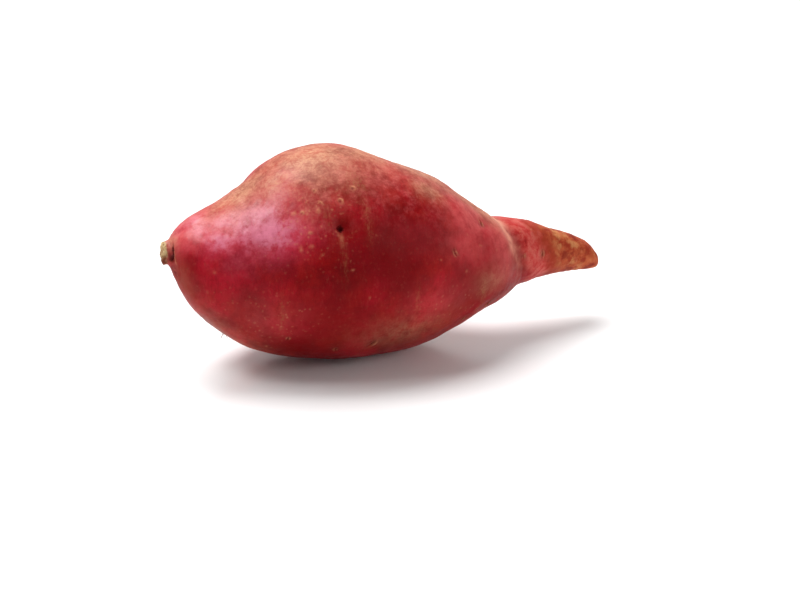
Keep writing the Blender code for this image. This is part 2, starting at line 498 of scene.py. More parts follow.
class Relief:
    """How far each point of the skin rises, and the marks that the finish is coloured by."""

    def __init__(self, skin):
        self.skin = skin
        self.lift = np.zeros(len(skin.along))
        self.marks = {}
        self.ragged = skin.noise("ragged")
        self.torn = skin.noise("torn")
        self.add_unevenness()
        self.add_wrinkles()
        self.add_scars()
        self.add_hole()
        self.add_spots()
        self.add_rings()
        self.add_crease()
        self.add_crevice()
        self.add_gap()
        self.add_fold()
        self.add_stub()

    def mark(self, name, values):
        self.marks[name] = np.maximum(self.marks.get(name, 0.0), values)

    def add_unevenness(self):
        for seed, (size, height) in enumerate(UNEVEN, start=1):
            self.lift += height * noise_at(self.skin.points, size, seed)
        self.lift += GRAIN_HEIGHT * self.skin.noise("grain")

    def add_wrinkles(self):
        broken = smooth_step(self.skin.noise("breaks"), *WRINKLE_BREAKS)
        waver = WRINKLE_WAVER * self.skin.noise("wrinkles")
        for middle, reach, spacing, depth in WRINKLES:
            ring = 0.5 + 0.5 * np.sin(math.tau * self.skin.along / spacing + waver)
            self.lift -= depth * bell((self.skin.along - middle) / reach) * broken * ring**WRINKLE_SHARPNESS

    def add_scars(self):
        draw = random.Random(SCAR_SEED)
        for along, angle, size in scars():
            slant = draw.uniform(-SLIT_SLANT, SLIT_SLANT)
            uneven = draw.uniform(-LIP_UNEVEN, LIP_UNEVEN)
            self.add_scar(*self.skin.off_turned(along, angle, slant), size, uneven)

    def add_scar(self, across, down, size, uneven):
        """A bent slit in a brown stain. The higher lip is on the side that its ends bend away from."""
        length, width = between(SLIT_LENGTH, size), between(SLIT_WIDTH, size)
        across = across + SLIT_BEND * down * down * math.copysign(1.0, uneven) + SLIT_TORN * self.torn
        slit = bell(np.hypot(across / width, down / length) + SLIT_RAGGED * self.ragged)
        lip = bell((np.abs(across) - LIP_PLACE * width) / (LIP_WIDTH * width))
        lip = lip * bell(down / (LIP_LENGTH * length))
        lip = lip * np.clip(1.0 + uneven * np.sign(across) + LIP_RAGGED * self.ragged, 0.0, 2.0)
        stain = np.hypot(across / (STAIN_WIDTH * width), down / (STAIN_LENGTH * length))
        self.lift += between(LIP_HEIGHT, size) * lip - between(SLIT_DEPTH, size) * slit
        # The slit's dark is partly painted shade.
        self.mark("pit", between(SLIT_DARKNESS, size) * slit)
        self.mark("rim", LIP_PALENESS * lip)
        self.mark("scar", STAIN_SHARE * bell(stain + STAIN_RAGGED * self.ragged))

    def add_hole(self):
        off_along, off_round = self.skin.off(*DEEP_SCAR)
        off = np.hypot(off_along, HOLE_FLATTENING * (off_round - HOLE_DROP))
        off = off + HOLE_RAGGED * self.ragged + HOLE_TORN * self.torn
        self.lift -= HOLE_DEPTH * (1 - smooth_step(off, HOLE_RADIUS - HOLE_EDGE, HOLE_RADIUS + HOLE_EDGE))
        # Painted shade inside the hole.
        darkness = 1 - smooth_step(off / HOLE_RADIUS, *HOLE_DARK_REACH)
        self.mark("pit", HOLE_DARKNESS * darkness)
        self.add_hole_shade(off_along - SHADE_PLACE[0], off_round - SHADE_PLACE[1])
        self.add_hole_rust(off_along - HOLE_RUST_PLACE[0], off_round - HOLE_RUST_PLACE[1])
        self.add_hole_line(off_along, off_round)

    # Painted shade: darkens the skin above and beside the hole, where its wall lies in shadow.
    def add_hole_shade(self, off_along, off_round):
        off = np.hypot(SHADE_FLATTENING[0] * off_along, SHADE_FLATTENING[1] * off_round)
        off = off + BLOT_RAGGED * self.ragged
        self.mark("shade", SHADE_SHARE * bell(off / SHADE_REACH) ** SHADE_POWER)

    def add_hole_rust(self, off_along, off_round):
        off = np.hypot(off_along / HOLE_RUST_REACH[0], off_round / HOLE_RUST_REACH[1])
        self.mark("rim", HOLE_RUST_SHARE * bell(off + BLOT_RAGGED * self.ragged))

    def add_hole_line(self, off_along, off_round):
        off = (off_along - LINE_PLACE - LINE_SLANT * off_round) / LINE_WIDTH
        below = smooth_step(off_round, *LINE_BEGINS) * (1 - smooth_step(off_round, *LINE_ENDS))
        self.mark("rim", LINE_SHARE * bell(off + LINE_RAGGED * self.ragged) * below)

    def add_spots(self):
        draw = random.Random(SPOT_SEED)
        for along, angle, radius in spots():
            turn = draw.uniform(0.0, math.pi)
            stretch = draw.uniform(*SPOT_STRETCH)
            one, other = self.skin.off_turned(along, angle, turn)
            off = np.hypot(one * stretch, other / stretch) / radius
            spot = bell(off + SPOT_RAGGED * self.ragged + SPOT_TORN * self.torn)
            size = radius / SPOT_SEEN_RADIUS
            self.lift += SPOT_HEIGHT * size * spot
            self.mark("spot", size * draw.uniform(*SPOT_PALENESS) * spot)

    def add_rings(self):
        for along, angle, radius in RINGS:
            off_along, off_round = self.skin.off(along, angle)
            off = np.hypot(off_along, off_round) + RING_RAGGED * (self.ragged + self.torn)
            closed = (1 + np.cos(np.arctan2(off_round, off_along) + RING_TURN)) / 2
            ring = between(RING_SHARES, closed) * bell((off - radius) / RING_WIDTH)
            self.lift += RING_HEIGHT * ring
            self.mark("rim", ring)
            self.mark("scar", RING_STAIN_SHARE * bell(off / (RING_STAIN_REACH * radius)))

    def add_crease(self):
        waver = self.skin.noise("crease")
        off = self.skin.off_crease() + CREASE_WAVER * waver + CREASE_RAGGED * self.ragged
        # The band is painted highlight, strongest where the crease faces up towards the light.
        deep = ((1 + np.cos(self.skin.angle - BAND_TURN)) / 2) ** BAND_SHARPNESS
        broken = np.clip(deep * (1.0 + waver), 0.0, 1.0)
        self.mark("band", broken * bell((off - BAND_PLACE) / BAND_WIDTH))
        self.mark("tail", smooth_step(off + TAIL_WAVER * waver, *TAIL_BEGINS))
        off = off + TIP_WAVER * self.skin.noise("tip")
        self.mark("tip", smooth_step(off, *TIP_BEGINS))
        self.mark("mottle", smooth_step(off, *BLOTCHES_BEGIN))

    def add_crevice(self):
        place, middle_angle, reach = CREVICE
        turn = angle_between(self.skin.angle, middle_angle)
        here = near_angle(turn, reach)
        off = self.skin.along - place - CREVICE_SLANT * turn
        off = off + CREVICE_RAGGED * self.ragged + CREVICE_TORN * self.torn
        width = between(CREVICE_WIDTH, smooth_step(turn, *CREVICE_TURNS))
        crevice = here * bell(off / width)
        self.lift -= CREVICE_DEPTH * crevice
        # Painted shade in the crevice and beside it.
        self.mark("pit", CREVICE_DARKNESS * crevice)
        self.mark("shade", CREVICE_SHADE * here * bell(off / (CREVICE_SHADE_WIDTH * width)))

    def add_gap(self):
        _, middle_angle, reach = CREVICE
        turn = angle_between(self.skin.angle, middle_angle)
        # Painted shade in the gap between stub and crevice.
        gap = smooth_step(turn, *GAP_TURNS) * bell((self.skin.along - GAP_PLACE) / GAP_WIDTH)
        self.mark("shade", GAP_SHADE * gap * near_angle(turn, reach))
        self.mark("shade", BRUISE_SHADE * self.bruise())

    def bruise(self):
        waver = PATCH_WAVER * self.skin.noise("waver")
        return patch(self.skin, waver, *BRUISE) * smooth_step(self.ragged, *BRUISE_BREAKS)

    def add_fold(self):
        place, middle_angle, reach = FOLD
        turn = angle_between(self.skin.angle, middle_angle)
        off = self.skin.along - place - FOLD_BEND * np.maximum(turn, 0.0) ** 2 + FOLD_RAGGED * self.ragged
        fold = near_angle(turn, reach) * bell(off / FOLD_WIDTH)
        self.lift += FOLD_HEIGHT * fold
        self.mark("rim", FOLD_PALENESS * fold)

    def add_stub(self):
        stub = 1 - smooth_step(self.skin.along + STUB_RAGGED * self.ragged, *STUB_END)
        heel_angle, heel_reach, heel = STUB_HEEL
        lift = STUB_RISE + STUB_ROUGHNESS * self.skin.noise("cork")
        lift += heel * bell(angle_between(self.skin.angle, heel_angle) / heel_reach)
        for radius, reach, height in (STUB_RING, STUB_CORE):
            lift += height * bell((self.skin.radius - radius) / reach)
        self.lift += stub * lift
        self.mark("stub", stub)
        low = smooth_step(self.skin.angle % math.tau, *RUST_ANGLES)
        low = low * smooth_step(self.skin.along, *RUST_PLACES)
        core = RUST_IN_CORE * bell(self.skin.radius / STUB_CORE[1])
        self.mark("rust", stub * np.maximum(low, core))


# Patches of colour on the skin: place, angle, reach along and round, and strength.
PATCHES = {
    # Darker red; the patches on the lower front also stand for painted shade.
    "deep": (
        (-14.0, 2.85, 20.0, 18.0, 0.9),
        (-2.0, 2.7, 14.0, 12.0, 0.8),
        (-36.0, 3.6, 26.0, 16.0, 0.8),
        (28.0, 3.3, 18.0, 14.0, 0.9),
        (-86.0, 3.2, 7.0, 10.0, 0.4),
        (-30.0, 0.9, 20.0, 14.0, 0.6),
        (10.0, 5.6, 20.0, 14.0, 0.6),
        (-66.0, 5.9, 14.0, 12.0, 0.6),
        (-76.0, 0.0, 10.0, 9.0, 0.8),
    ),
    "maroon": (
        # Painted shadow on the front below the hole.
        (-30.0, 3.02, 13.0, 12.0, 0.6),
        (-66.0, 3.15, 12.0, 7.0, 0.35),
        (12.0, 4.1, 16.0, 8.0, 0.4),
        (-40.0, 0.6, 16.0, 10.0, 0.4),
        (-70.0, 6.1, 14.0, 9.0, 0.4),
        (30.0, 0.1, 12.0, 9.0, 0.3),
    ),
    # Pink bloom; on the top and front of the vine end it is also a painted highlight.
    "bloom_and_painted_highlight": (
        (-89.5, 1.85, 4.5, 7.0, 0.7),
        (-83.0, 1.65, 6.0, 6.0, 1.0),
        (-82.0, 2.0, 9.0, 8.0, 0.8),
        (-75.0, 2.36, 8.0, 6.5, 1.0),
        (-71.0, 2.02, 10.0, 6.0, 0.9),
        (-62.0, 2.3, 15.0, 13.0, 1.0),
        (-57.0, 1.95, 14.0, 8.0, 0.6),
        (-54.0, 2.56, 11.0, 9.0, 1.0),
        (-57.0, 2.30, 8.0, 8.0, 1.0),
        (-58.0, 2.45, 7.0, 6.0, 1.6),
        (-40.0, 5.3, 18.0, 16.0, 0.5),
        (-74.0, 0.8, 12.0, 10.0, 0.8),
        (-58.0, 0.4, 11.0, 9.0, 0.7),
        (20.0, 0.3, 14.0, 14.0, 0.5),
    ),
    "flush": (
        (40.0, 2.5, 8.0, 16.0, 1.0),
        (27.0, 2.2, 9.0, 8.0, 0.9),
        (22.0, 2.7, 11.0, 9.0, 0.75),
        (24.0, 2.40, 12.0, 9.0, 1.0),
        (-85.0, 1.5, 6.0, 6.0, 0.6),
        (-88.0, 2.1, 4.5, 5.0, 0.9),
        (-8.0, 2.0, 9.0, 7.0, 0.6),
        (-24.0, 2.05, 13.0, 9.0, 0.45),
        (-16.0, 2.2, 9.0, 7.0, 0.4),
        (8.0, 3.4, 14.0, 9.0, 0.35),
        (-62.0, 3.5, 14.0, 10.0, 0.4),
        (-60.0, 0.8, 14.0, 10.0, 0.6),
        (44.0, 6.0, 8.0, 12.0, 0.6),
        (0.0, 4.3, 18.0, 12.0, 0.5),
    ),
    "bark": (
        (-89.5, 3.8, 4.5, 9.0, 0.9),
        (-92.7, 3.1, 1.2, 2.6, 0.9),
        (-88.0, 5.2, 5.0, 8.0, 0.6),
    ),
    "russet": (
        (-36.0, 1.75, 20.0, 19.0, 1.0),
        (-43.0, 2.4, 8.0, 8.0, 0.25),
        (-14.0, 1.65, 14.0, 15.0, 0.9),
        (10.0, 1.65, 18.0, 13.0, 0.9),
        (30.0, 1.75, 12.0, 9.0, 0.8),
        (-64.0, 1.65, 14.0, 10.0, 0.9),
        (-52.0, 1.90, 10.0, 8.0, 0.8),
        (38.0, 1.9, 9.0, 7.0, 0.9),
        (8.0, 2.12, 8.0, 5.5, 0.7),
        (-92.2, 1.9, 2.6, 5.0, 0.7),
        (-12.0, 5.9, 26.0, 18.0, 0.7),
        (24.0, 4.6, 16.0, 14.0, 0.6),
        (-6.0, 3.75, 20.0, 9.0, 0.30),
        (34.0, 3.3, 8.0, 7.0, 0.30),
        (-70.0, 4.4, 14.0, 12.0, 0.5),
    ),
    "speckles": (
        (-41.0, 2.4, 15.0, 17.0, 1.0),
        (-26.0, 1.8, 14.0, 14.0, 0.8),
        (22.0, 5.2, 20.0, 14.0, 0.7),
        (-58.0, 5.0, 16.0, 14.0, 0.8),
        (-10.0, 0.5, 16.0, 12.0, 0.7),
        (76.0, 1.4, 16.0, 12.0, 0.6),
        (-60.0, 3.5, 16.0, 9.0, 0.7),
        (16.0, 3.5, 18.0, 9.0, 0.6),
    ),
    "streak": (
        (-21.3, 2.54, 1.3, 9.0, 0.6),
        (-22.9, 2.22, 3.6, 5.0, 0.7),
        (-31.9, 2.90, 1.1, 8.0, 0.4),
        (-36.2, 2.52, 1.6, 5.0, 0.5),
        (6.0, 5.2, 1.8, 14.0, 0.8),
        (-50.0, 0.4, 1.6, 12.0, 0.7),
        (30.0, 3.6, 1.5, 8.0, 0.7),
        (-55.5, 3.45, 1.2, 8.0, 0.6),
        (-2.0, 3.35, 1.0, 7.0, 0.5),
    ),
}


def patch(skin, waver, along, angle, reach_along, reach_round):
    """A soft patch round a place on the skin, with a wavering edge."""
    off_along, off_round = skin.off(along, angle)
    return bell(np.hypot((off_along + waver) / reach_along, off_round / reach_round))


def patch_masks(skin):
    """Soft masks of where the skin has dust and painted light, and patches of colour."""
    # Painted light with the dust: paler where the skin faces up and back.
    top = between(DUST_AND_LIGHT_SHARES, smooth_step(skin.normals[:, 2], *DUST_AND_LIGHT_FACING_UP))
    back = DUST_AND_LIGHT_BACK_SHARE * smooth_step(skin.normals[:, 1], *DUST_AND_LIGHT_FACING_BACK)
    masks = {"dust": np.maximum(top, back)}
    waver = PATCH_WAVER * skin.noise("waver")
    for name, patches in PATCHES.items():
        strengths = [strength * patch(skin, waver, *where) for *where, strength in patches]
        masks[name] = np.max(strengths, axis=0)
    return masks


def colour(red, green, blue):
    """A colour from 0 to 255 as the eye sees it, as Blender's linear RGBA."""
    parts = [part / 255.0 for part in (red, green, blue)]
    return (*[part / 12.92 if part <= 0.04045 else ((part + 0.055) / 1.055) ** 2.4 for part in parts], 1.0)


# How far the next seed's texture lies from the last one's, in sizes.
TEXTURE_SHIFT = (3.7, -5.3, 2.9)


class Shader:
    """A material whose nodes are added one call at a time. An input is a value or another node's output."""

    def __init__(self, name):
        self.material = bpy.data.materials.new(name)
        self.material.use_nodes = True
        self.tree = self.material.node_tree
        self.surface = self.tree.nodes["Principled BSDF"]

    def put(self, socket, value):
        if isinstance(value, bpy.types.NodeSocket):
            self.tree.links.new(value, socket)
        else:
            socket.default_value = value

    def node(self, kind, inputs, **settings):
        """A new node. Its inputs are given by name or number."""
        made = self.tree.nodes.new(kind)
        for name, value in settings.items():
            setattr(made, name, value)
        for name, value in inputs.items():
            self.put(made.inputs[name], value)
        return made

    def mark(self, name):
        """A mask that the mesh carries."""
        return self.node("ShaderNodeAttribute", {}, attribute_name=name).outputs["Fac"]

    def place(self, size, seed=0):
        """The object's own coordinates, counted in this size in millimetres, or in one for each axis."""
        sizes = size if isinstance(size, tuple) else (size, size, size)
        scale = tuple(1.0 / (part * MM) for part in sizes)
        coordinates = self.node("ShaderNodeTexCoord", {}).outputs["Object"]
        location = tuple(seed * part for part in TEXTURE_SHIFT)
        inputs = {"Vector": coordinates, "Scale": scale, "Location": location}
        return self.node("ShaderNodeMapping", inputs).outputs["Vector"]

    def noise(self, size, detail=3.0, roughness=0.55, distortion=0.0, seed=0):
        inputs = {"Vector": self.place(size, seed), "Scale": 1.0, "Detail": detail, "Roughness": roughness}
        inputs["Distortion"] = distortion
        return self.node("ShaderNodeTexNoise", inputs).outputs["Fac"]

    def cells(self, size):
        """Distance from the nearest of many scattered points, in sizes."""
        inputs = {"Vector": self.place(size), "Scale": 1.0, "Randomness": 1.0}
        return self.node("ShaderNodeTexVoronoi", inputs).outputs["Distance"]

    def ramp(self, value, low, high, start=0.0, end=1.0):
        """Goes smoothly from start to end as the value goes from low to high."""
        inputs = {"Value": value, "From Min": low, "From Max": high, "To Min": start, "To Max": end}
        return self.node("ShaderNodeMapRange", inputs, interpolation_type="SMOOTHSTEP").outputs["Result"]

    def math(self, operation, one, other):
        return self.node("ShaderNodeMath", {0: one, 1: other}, operation=operation).outputs["Value"]

    def times(self, *values):
        result = values[0]
        for value in values[1:]:
            result = self.math("MULTIPLY", result, value)
        return result

    def plus(self, one, other):
        return self.math("ADD", one, other)

    def mix(self, share, one, other):
        """From one colour to the other by share."""
        return self.node("ShaderNodeMix", {0: share, 6: one, 7: other}, data_type="RGBA").outputs[2]

    def blend(self, share, one, other):
        """From one number to the other by share."""
        return self.node("ShaderNodeMix", {0: share, 2: one, 3: other}).outputs[0]

    def bump(self, height, distance, below=None):
        inputs = {"Height": height, "Distance": distance * MM, "Strength": 1.0}
        if below is not None:
            inputs["Normal"] = below
        return self.node("ShaderNodeBump", inputs).outputs["Normal"]

    def finish(self, **values):
        """Sets the shader's inputs, named in lower case with underscores."""
        sockets = {socket.name.lower().replace(" ", "_"): socket for socket in self.surface.inputs}
        for name, value in values.items():
            self.put(sockets[name], value)
        return self.material


# Dark maroon, which below the hole paints shadow.
MAROON = colour(84, 0, 3)
DEEP_RED = colour(116, 0, 6)
RED = colour(172, 10, 32)
BRICK = colour(156, 18, 16)
# The pale pink of dust, which also paints light on the top and back.
DUST_AND_PAINTED_LIGHT = colour(196, 82, 84)
# The pinks of the bloom; the palest also stands for a painted highlight.
MAGENTA = colour(212, 66, 94)
PINK = colour(216, 116, 142)
FLUSH = colour(208, 84, 84)
TAN = colour(200, 146, 114)
OLIVE = colour(150, 98, 62)
RIM = colour(206, 130, 98)
SPOT = colour(206, 132, 98)
# Painted highlight along the crease.
PAINTED_HIGHLIGHT_BAND = colour(226, 150, 126)
BROWN = colour(86, 32, 22)
# Painted shade by the hole, crevice and stub, which the bruise also uses.
SHADE = colour(100, 0, 3)
BARK = colour(138, 54, 42)
# Painted shade in the hole and crevice, and in the slits also the scars' own dark.
DARK = colour(66, 2, 3)
TAIL_RED = colour(184, 50, 46)
TAIL_DUSTY = colour(204, 104, 92)
TAIL_ORANGE = colour(186, 90, 54)
TAIL_RUST = colour(164, 56, 36)
TAIL_BROWN = colour(152, 50, 28)
TAIL_DARK = colour(118, 26, 14)
TAIL_BEIGE = colour(208, 142, 90)
HAIR = colour(150, 92, 60)
HAIR_DARK = colour(104, 50, 34)
CORK = colour(202, 174, 128)
CORK_DARK = colour(160, 124, 82)
RUST = colour(104, 44, 24)
FLOOR_WHITE = colour(247, 247, 247)

# The skin's textures: size of the noise in millimetres, one or one for each axis, and its other settings
# where they aren't the usual ones.
TEXTURES = {
    "large": (18.0, {}),
    "brick": (11.0, {"seed": 3}),
    "middle": (3.8, {"detail": 6.0, "roughness": 0.66}),
    "fine": (1.1, {"detail": 4.0, "roughness": 0.6, "seed": 2}),
    "lengthwise": ((16.0, 1.4, 1.4), {"distortion": 0.3}),
    "crosswise": ((0.9, 3.0, 3.0), {"detail": 4.0, "roughness": 0.62, "distortion": 0.6}),
    "speck": (0.5, {"detail": 2.0, "seed": 5}),
    "blotch": (6.5, {"detail": 3.5, "seed": 4}),
    "cork": (2.4, {"detail": 4.0}),
}

# Layers of colour, from below: the colour, the mask that it lies in, if any, and the textures that break it
# up. Each texture has the range over which the layer's share goes from one value to another, or from 0 to 1.
GROUND_LAYERS = (
    (RED, None, ("large", 0.35, 0.65)),
    (BRICK, None, ("brick", 0.45, 0.72, 0.0, 0.8)),
    # Darker red, which on the lower front is also painted shade.
    (DEEP_RED, "deep", ("large", 0.25, 0.55, 0.5, 1.0)),
    # Dust, which also paints light where the skin faces up and back.
    (DUST_AND_PAINTED_LIGHT, "thin dust", ("middle", 0.40, 0.68), ("fine", 0.30, 0.70, 0.35, 1.0)),
    # Maroon patches; the one below the hole is painted shadow.
    (MAROON, "maroon", ("middle", 0.30, 0.60, 0.6, 1.0)),
    (DEEP_RED, "plain", ("lengthwise", 0.52, 0.78, 0.0, 0.40)),
    (DEEP_RED, "plain", ("middle", 0.42, 0.28, 0.0, 0.45)),
    (DEEP_RED, "plain", ("crosswise", 0.50, 0.36, 0.0, 0.40)),
)
PATCH_LAYERS = (
    (FLUSH, "flush", ("middle", 0.25, 0.65, 0.40, 0.80)),
    (TAN, "broken russet", ("middle", 0.32, 0.60, 0.50, 1.0), ("fine", 0.32, 0.62, 0.62, 1.0)),
    (TAN, "flecks", ("crosswise", 0.55, 0.70)),
    (OLIVE, "streak", ("crosswise", 0.35, 0.60, 0.105, 0.70), ("fine", 0.38, 0.60, 0.2, 1.0)),
    (BARK, "bark", ("middle", 0.28, 0.58, 0.5, 1.0)),
)
TAIL_LAYERS = (
    (TAIL_DUSTY, None, ("middle", 0.38, 0.66, 0.0, 0.75)),
    (DEEP_RED, None, ("middle", 0.44, 0.30, 0.0, 0.60)),
)
TIP_LAYERS = (
    (TAIL_BEIGE, "mottle", ("blotch", 0.50, 0.66, 0.0, 0.75), ("fine", 0.30, 0.60, 0.45, 1.0)),
    (TAIL_DARK, None, ("blotch", 0.46, 0.36, 0.0, 0.65)),
)
TAIL_MOTTLING = ((TAIL_DARK, None, ("crosswise", 0.55, 0.72, 0.0, 0.45), ("fine", 0.3, 0.7)),)
STUB_LAYERS = (
    (CORK, None, ("cork", 0.36, 0.62)),
    (RUST, None, ("fine", 0.50, 0.36, 0.0, 0.65)),
    (RUST, "rust"),
)
# Painted highlight along the crease's body side.
BAND_LAYERS = ((PAINTED_HIGHLIGHT_BAND, "band", ("middle", 0.25, 0.55, 0.45, 0.85)),)
MARK_LAYERS = (
    (BROWN, "scar", ("fine", 0.30, 0.60, 0.25, 0.75)),
    (RIM, "rim", ("fine", 0.25, 0.60, 0.40, 0.95)),
    (SPOT, "spot", ("fine", 0.25, 0.60, 0.50, 0.95)),
    (SPOT, "dots", ("middle", 0.38, 0.54)),
    # The shade and pit layers paint shade in and beside hollows, over the bruise's and the scars' own dark.
    (SHADE, "shade"),
    (DARK, "pit"),
    (BROWN, None, ("speck", 0.64, 0.78, 0.0, 0.40)),
)

# Limits of the ramps that some masks and mixes are made with.
DUST_AND_LIGHT_ON_DEEP = (0.0, 1.0, 0.85, 0.15)
PLAIN_BY_RUSSET = (0.0, 0.8, 1.0, 0.3)
RUSSET_BREAKS = (0.30, 0.60, 0.78, 1.0)
BLOOM_AND_HIGHLIGHT_BREAKS = (0.25, 0.65, 0.45, 1.0)
PINK_IN_BLOOM_AND_HIGHLIGHT = (0.35, 0.95)
BLOOM_AND_HIGHLIGHT_SHARE = 0.80
TIP_BROWN_ENDS = (0.36, 0.64)

# Small flecks and dots: the share that is everywhere, and how much more there is on russet and speckles.
FLECKS = (0.02, 0.40)
DOTS = (0.03, 0.36)
DOT_SIZE = 2.0
DOT_EDGE = (0.34, 0.08)
DOT_RAGGED = 0.9

# Roughness of the skin, as a ramp, and of the masks laid over it in this order.
ROUGHNESS = (0.30, 0.70, 0.42, 0.54)
ROUGH_MASKS = (("rough russet", 0.60), ("bark", 0.75), ("tail", 0.58), ("stub", 0.90), ("pit", 0.90))
RUSSET_ROUGHNESS_SHARE = 0.8

# Bumps of the finish, as texture and height in millimetres, and the pores.
BUMPS = (("middle", 0.12), ("crosswise", 0.04), ("fine", 0.08))
PORE_SIZE = 1.7
PORE_EDGE = (0.0, 0.35)
PORE_HEIGHT = 0.02

# The waxy coat, which the pink bloom and its painted highlight have more of.
COAT = (0.03, 0.48)
COAT_ROUGHNESS = 0.27
SKIN_SPECULAR = 0.05


class SkinShader(Shader):
    """The skin's shader, with its textures and the masks that are made from others."""

    def __init__(self):
        super().__init__("sweet_potato_skin")
        self.textures = {name: self.noise(size, **settings) for name, (size, settings) in TEXTURES.items()}
        russet = self.times(self.mark("russet"), self.ramp(self.textures["brick"], *RUSSET_BREAKS))
        self.masks = {
            "thin dust": self.times(self.mark("dust"), self.ramp(self.mark("deep"), *DUST_AND_LIGHT_ON_DEEP)),
            "plain": self.ramp(self.mark("russet"), *PLAIN_BY_RUSSET),
            "broken russet": russet,
            "rough russet": self.times(russet, RUSSET_ROUGHNESS_SHARE),
            "flecks": self.more(FLECKS, russet),
            "dots": self.dots(),
        }

    def more(self, shares, mask):
        """A first share everywhere, and more by a second one in the mask."""
        return self.plus(shares[0], self.times(mask, shares[1]))

    def dots(self):
        ragged = self.times(self.plus(self.textures["fine"], -0.5), DOT_RAGGED)
        cells = self.plus(self.cells(DOT_SIZE), ragged)
        return self.times(self.ramp(cells, *DOT_EDGE), self.more(DOTS, self.mark("speckles")))

    def mask(self, name):
        return self.masks[name] if name in self.masks else self.mark(name)

    def cover(self, below, layers):
        """Lays one layer of colour after another over what is below."""
        for top, mask, *breaks in layers:
            shares = [self.mask(mask)] if mask else []
            shares += [self.ramp(self.textures[name], *limits) for name, *limits in breaks]
            below = self.mix(self.times(*shares), below, top)
        return below

    def bloom_and_painted_highlight(self, below):
        """The pink bloom, and a painted highlight on the vine end, palest where it is thickest."""
        bloom_and_painted_highlight = self.times(self.mark("bloom_and_painted_highlight"), self.ramp(self.textures["middle"], *BLOOM_AND_HIGHLIGHT_BREAKS))
        pink = self.mix(self.ramp(bloom_and_painted_highlight, *PINK_IN_BLOOM_AND_HIGHLIGHT), MAGENTA, PINK)
        return self.mix(self.times(bloom_and_painted_highlight, BLOOM_AND_HIGHLIGHT_SHARE), below, pink)

    def tail(self):
        """Plain red at the tail's root, and brown with beige and dark blotches towards its tip."""
        orange = self.mix(self.mark("mottle"), TAIL_RUST, TAIL_ORANGE)
        tip = self.mix(self.ramp(self.textures["middle"], *TIP_BROWN_ENDS), TAIL_BROWN, orange)
        tip = self.cover(tip, TIP_LAYERS)
        tail = self.mix(self.mark("tip"), self.cover(TAIL_RED, TAIL_LAYERS), tip)
        return self.cover(tail, TAIL_MOTTLING)

    def skin_colour(self):
        """The colour from its ground up to the marks on it."""
        skin = self.cover(DEEP_RED, GROUND_LAYERS)
        skin = self.cover(self.bloom_and_painted_highlight(skin), PATCH_LAYERS)
        skin = self.mix(self.mark("tail"), skin, self.tail())
        skin = self.cover(skin, BAND_LAYERS)
        skin = self.mix(self.mark("stub"), skin, self.cover(CORK_DARK, STUB_LAYERS))
        return self.cover(skin, MARK_LAYERS)

    def skin_roughness(self):
        rough = self.ramp(self.textures["fine"], *ROUGHNESS)
        for mask, roughness in ROUGH_MASKS:
            rough = self.blend(self.mask(mask), rough, roughness)
        return rough

    def skin_bump(self):
        bump = None
        for name, height in BUMPS:
            bump = self.bump(self.textures[name], height, bump)
        return self.bump(self.ramp(self.cells(PORE_SIZE), *PORE_EDGE), PORE_HEIGHT, bump)


def skin_material():
    shader = SkinShader()
    return shader.finish(
        base_color=shader.skin_colour(),
        roughness=shader.skin_roughness(),
        normal=shader.skin_bump(),
        specular_ior_level=SKIN_SPECULAR,
        coat_weight=shader.more(COAT, shader.mark("bloom_and_painted_highlight")),
        coat_roughness=COAT_ROUGHNESS,
    )


def make_skin():
    """The root's whole surface, which stands for the plain solid."""
    mesh, line = even_mesh()
    refine_marks(mesh, line)
    skin = Skin(mesh, line)
    relief = Relief(skin)
    points = skin.points + skin.normals * relief.lift[:, None]
    points[:, 2] = np.maximum(points[:, 2], 0.0)
    for vert, place in zip(mesh.verts, points):
        vert.co = place * MM
    data = bpy.data.meshes.new("skin")
    mesh.to_mesh(data)
    mesh.free()
    data.shade_smooth()
    for name, values in {**relief.marks, **patch_masks(skin)}.items():
        data.attributes.new(name, "FLOAT", "POINT").data.foreach_set("value", values.astype(np.float32))
    data.materials.append(skin_material())
    piece = bpy.data.objects.new("skin", data)
    bpy.context.scene.collection.objects.link(piece)
    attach(piece, BODY)
    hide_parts(NODE)
    return data, line


# Fine hairs grow from the root scars on the back and below, and none on the tail.
HAIR_SEED = 23
HAIR_SIDE = 5.6
HAIR_SPREAD = 1.5
HAIR_END = 55.0
HAIRS_PER_SCAR = (0, 3)
HAIR_LENGTH = (4.0, 14.0)
HAIR_RISE = (0.8, 3.5)
HAIR_ARCH = 2.4
HAIR_CURL = 1.6
HAIR_WANDER = 0.25
HAIR_RADIUS = (0.10, 0.20)
HAIR_TAPER = 0.75
HAIR_STEPS = 16
HAIR_SIDES = 6
HAIR_CLEARANCE = 0.4
HAIR_TEXTURE = 3.0
HAIR_ROUGHNESS = 0.7
HAIR_SPECULAR = 0.2

# Keeps a hair's first side from vanishing where the hair is straight.
HAIR_ASIDE = (0.013, 0.007, 0.011)


class SkinPlaces:
    """Finds points on and above the finished skin."""

    def __init__(self, data, line):
        self.line = line
        mesh = bmesh.new()
        mesh.from_mesh(data)
        self.tree = BVHTree.FromBMesh(mesh)
        mesh.free()

    def above(self, along, angle, height):
        place = along - SECTION_SHIFT
        across, up, half_width, half_height = (float(value) for value in self.line.at(place))
        outward = Vector((0.0, half_width * math.cos(angle), half_height * math.sin(angle)))
        middle = Vector((place, across, up)) * MM
        hit, normal, _, _ = self.tree.ray_cast(middle, outward.normalized())
        point = hit / MM + normal * height
        point.z = max(point.z, HAIR_CLEARANCE)
        return point


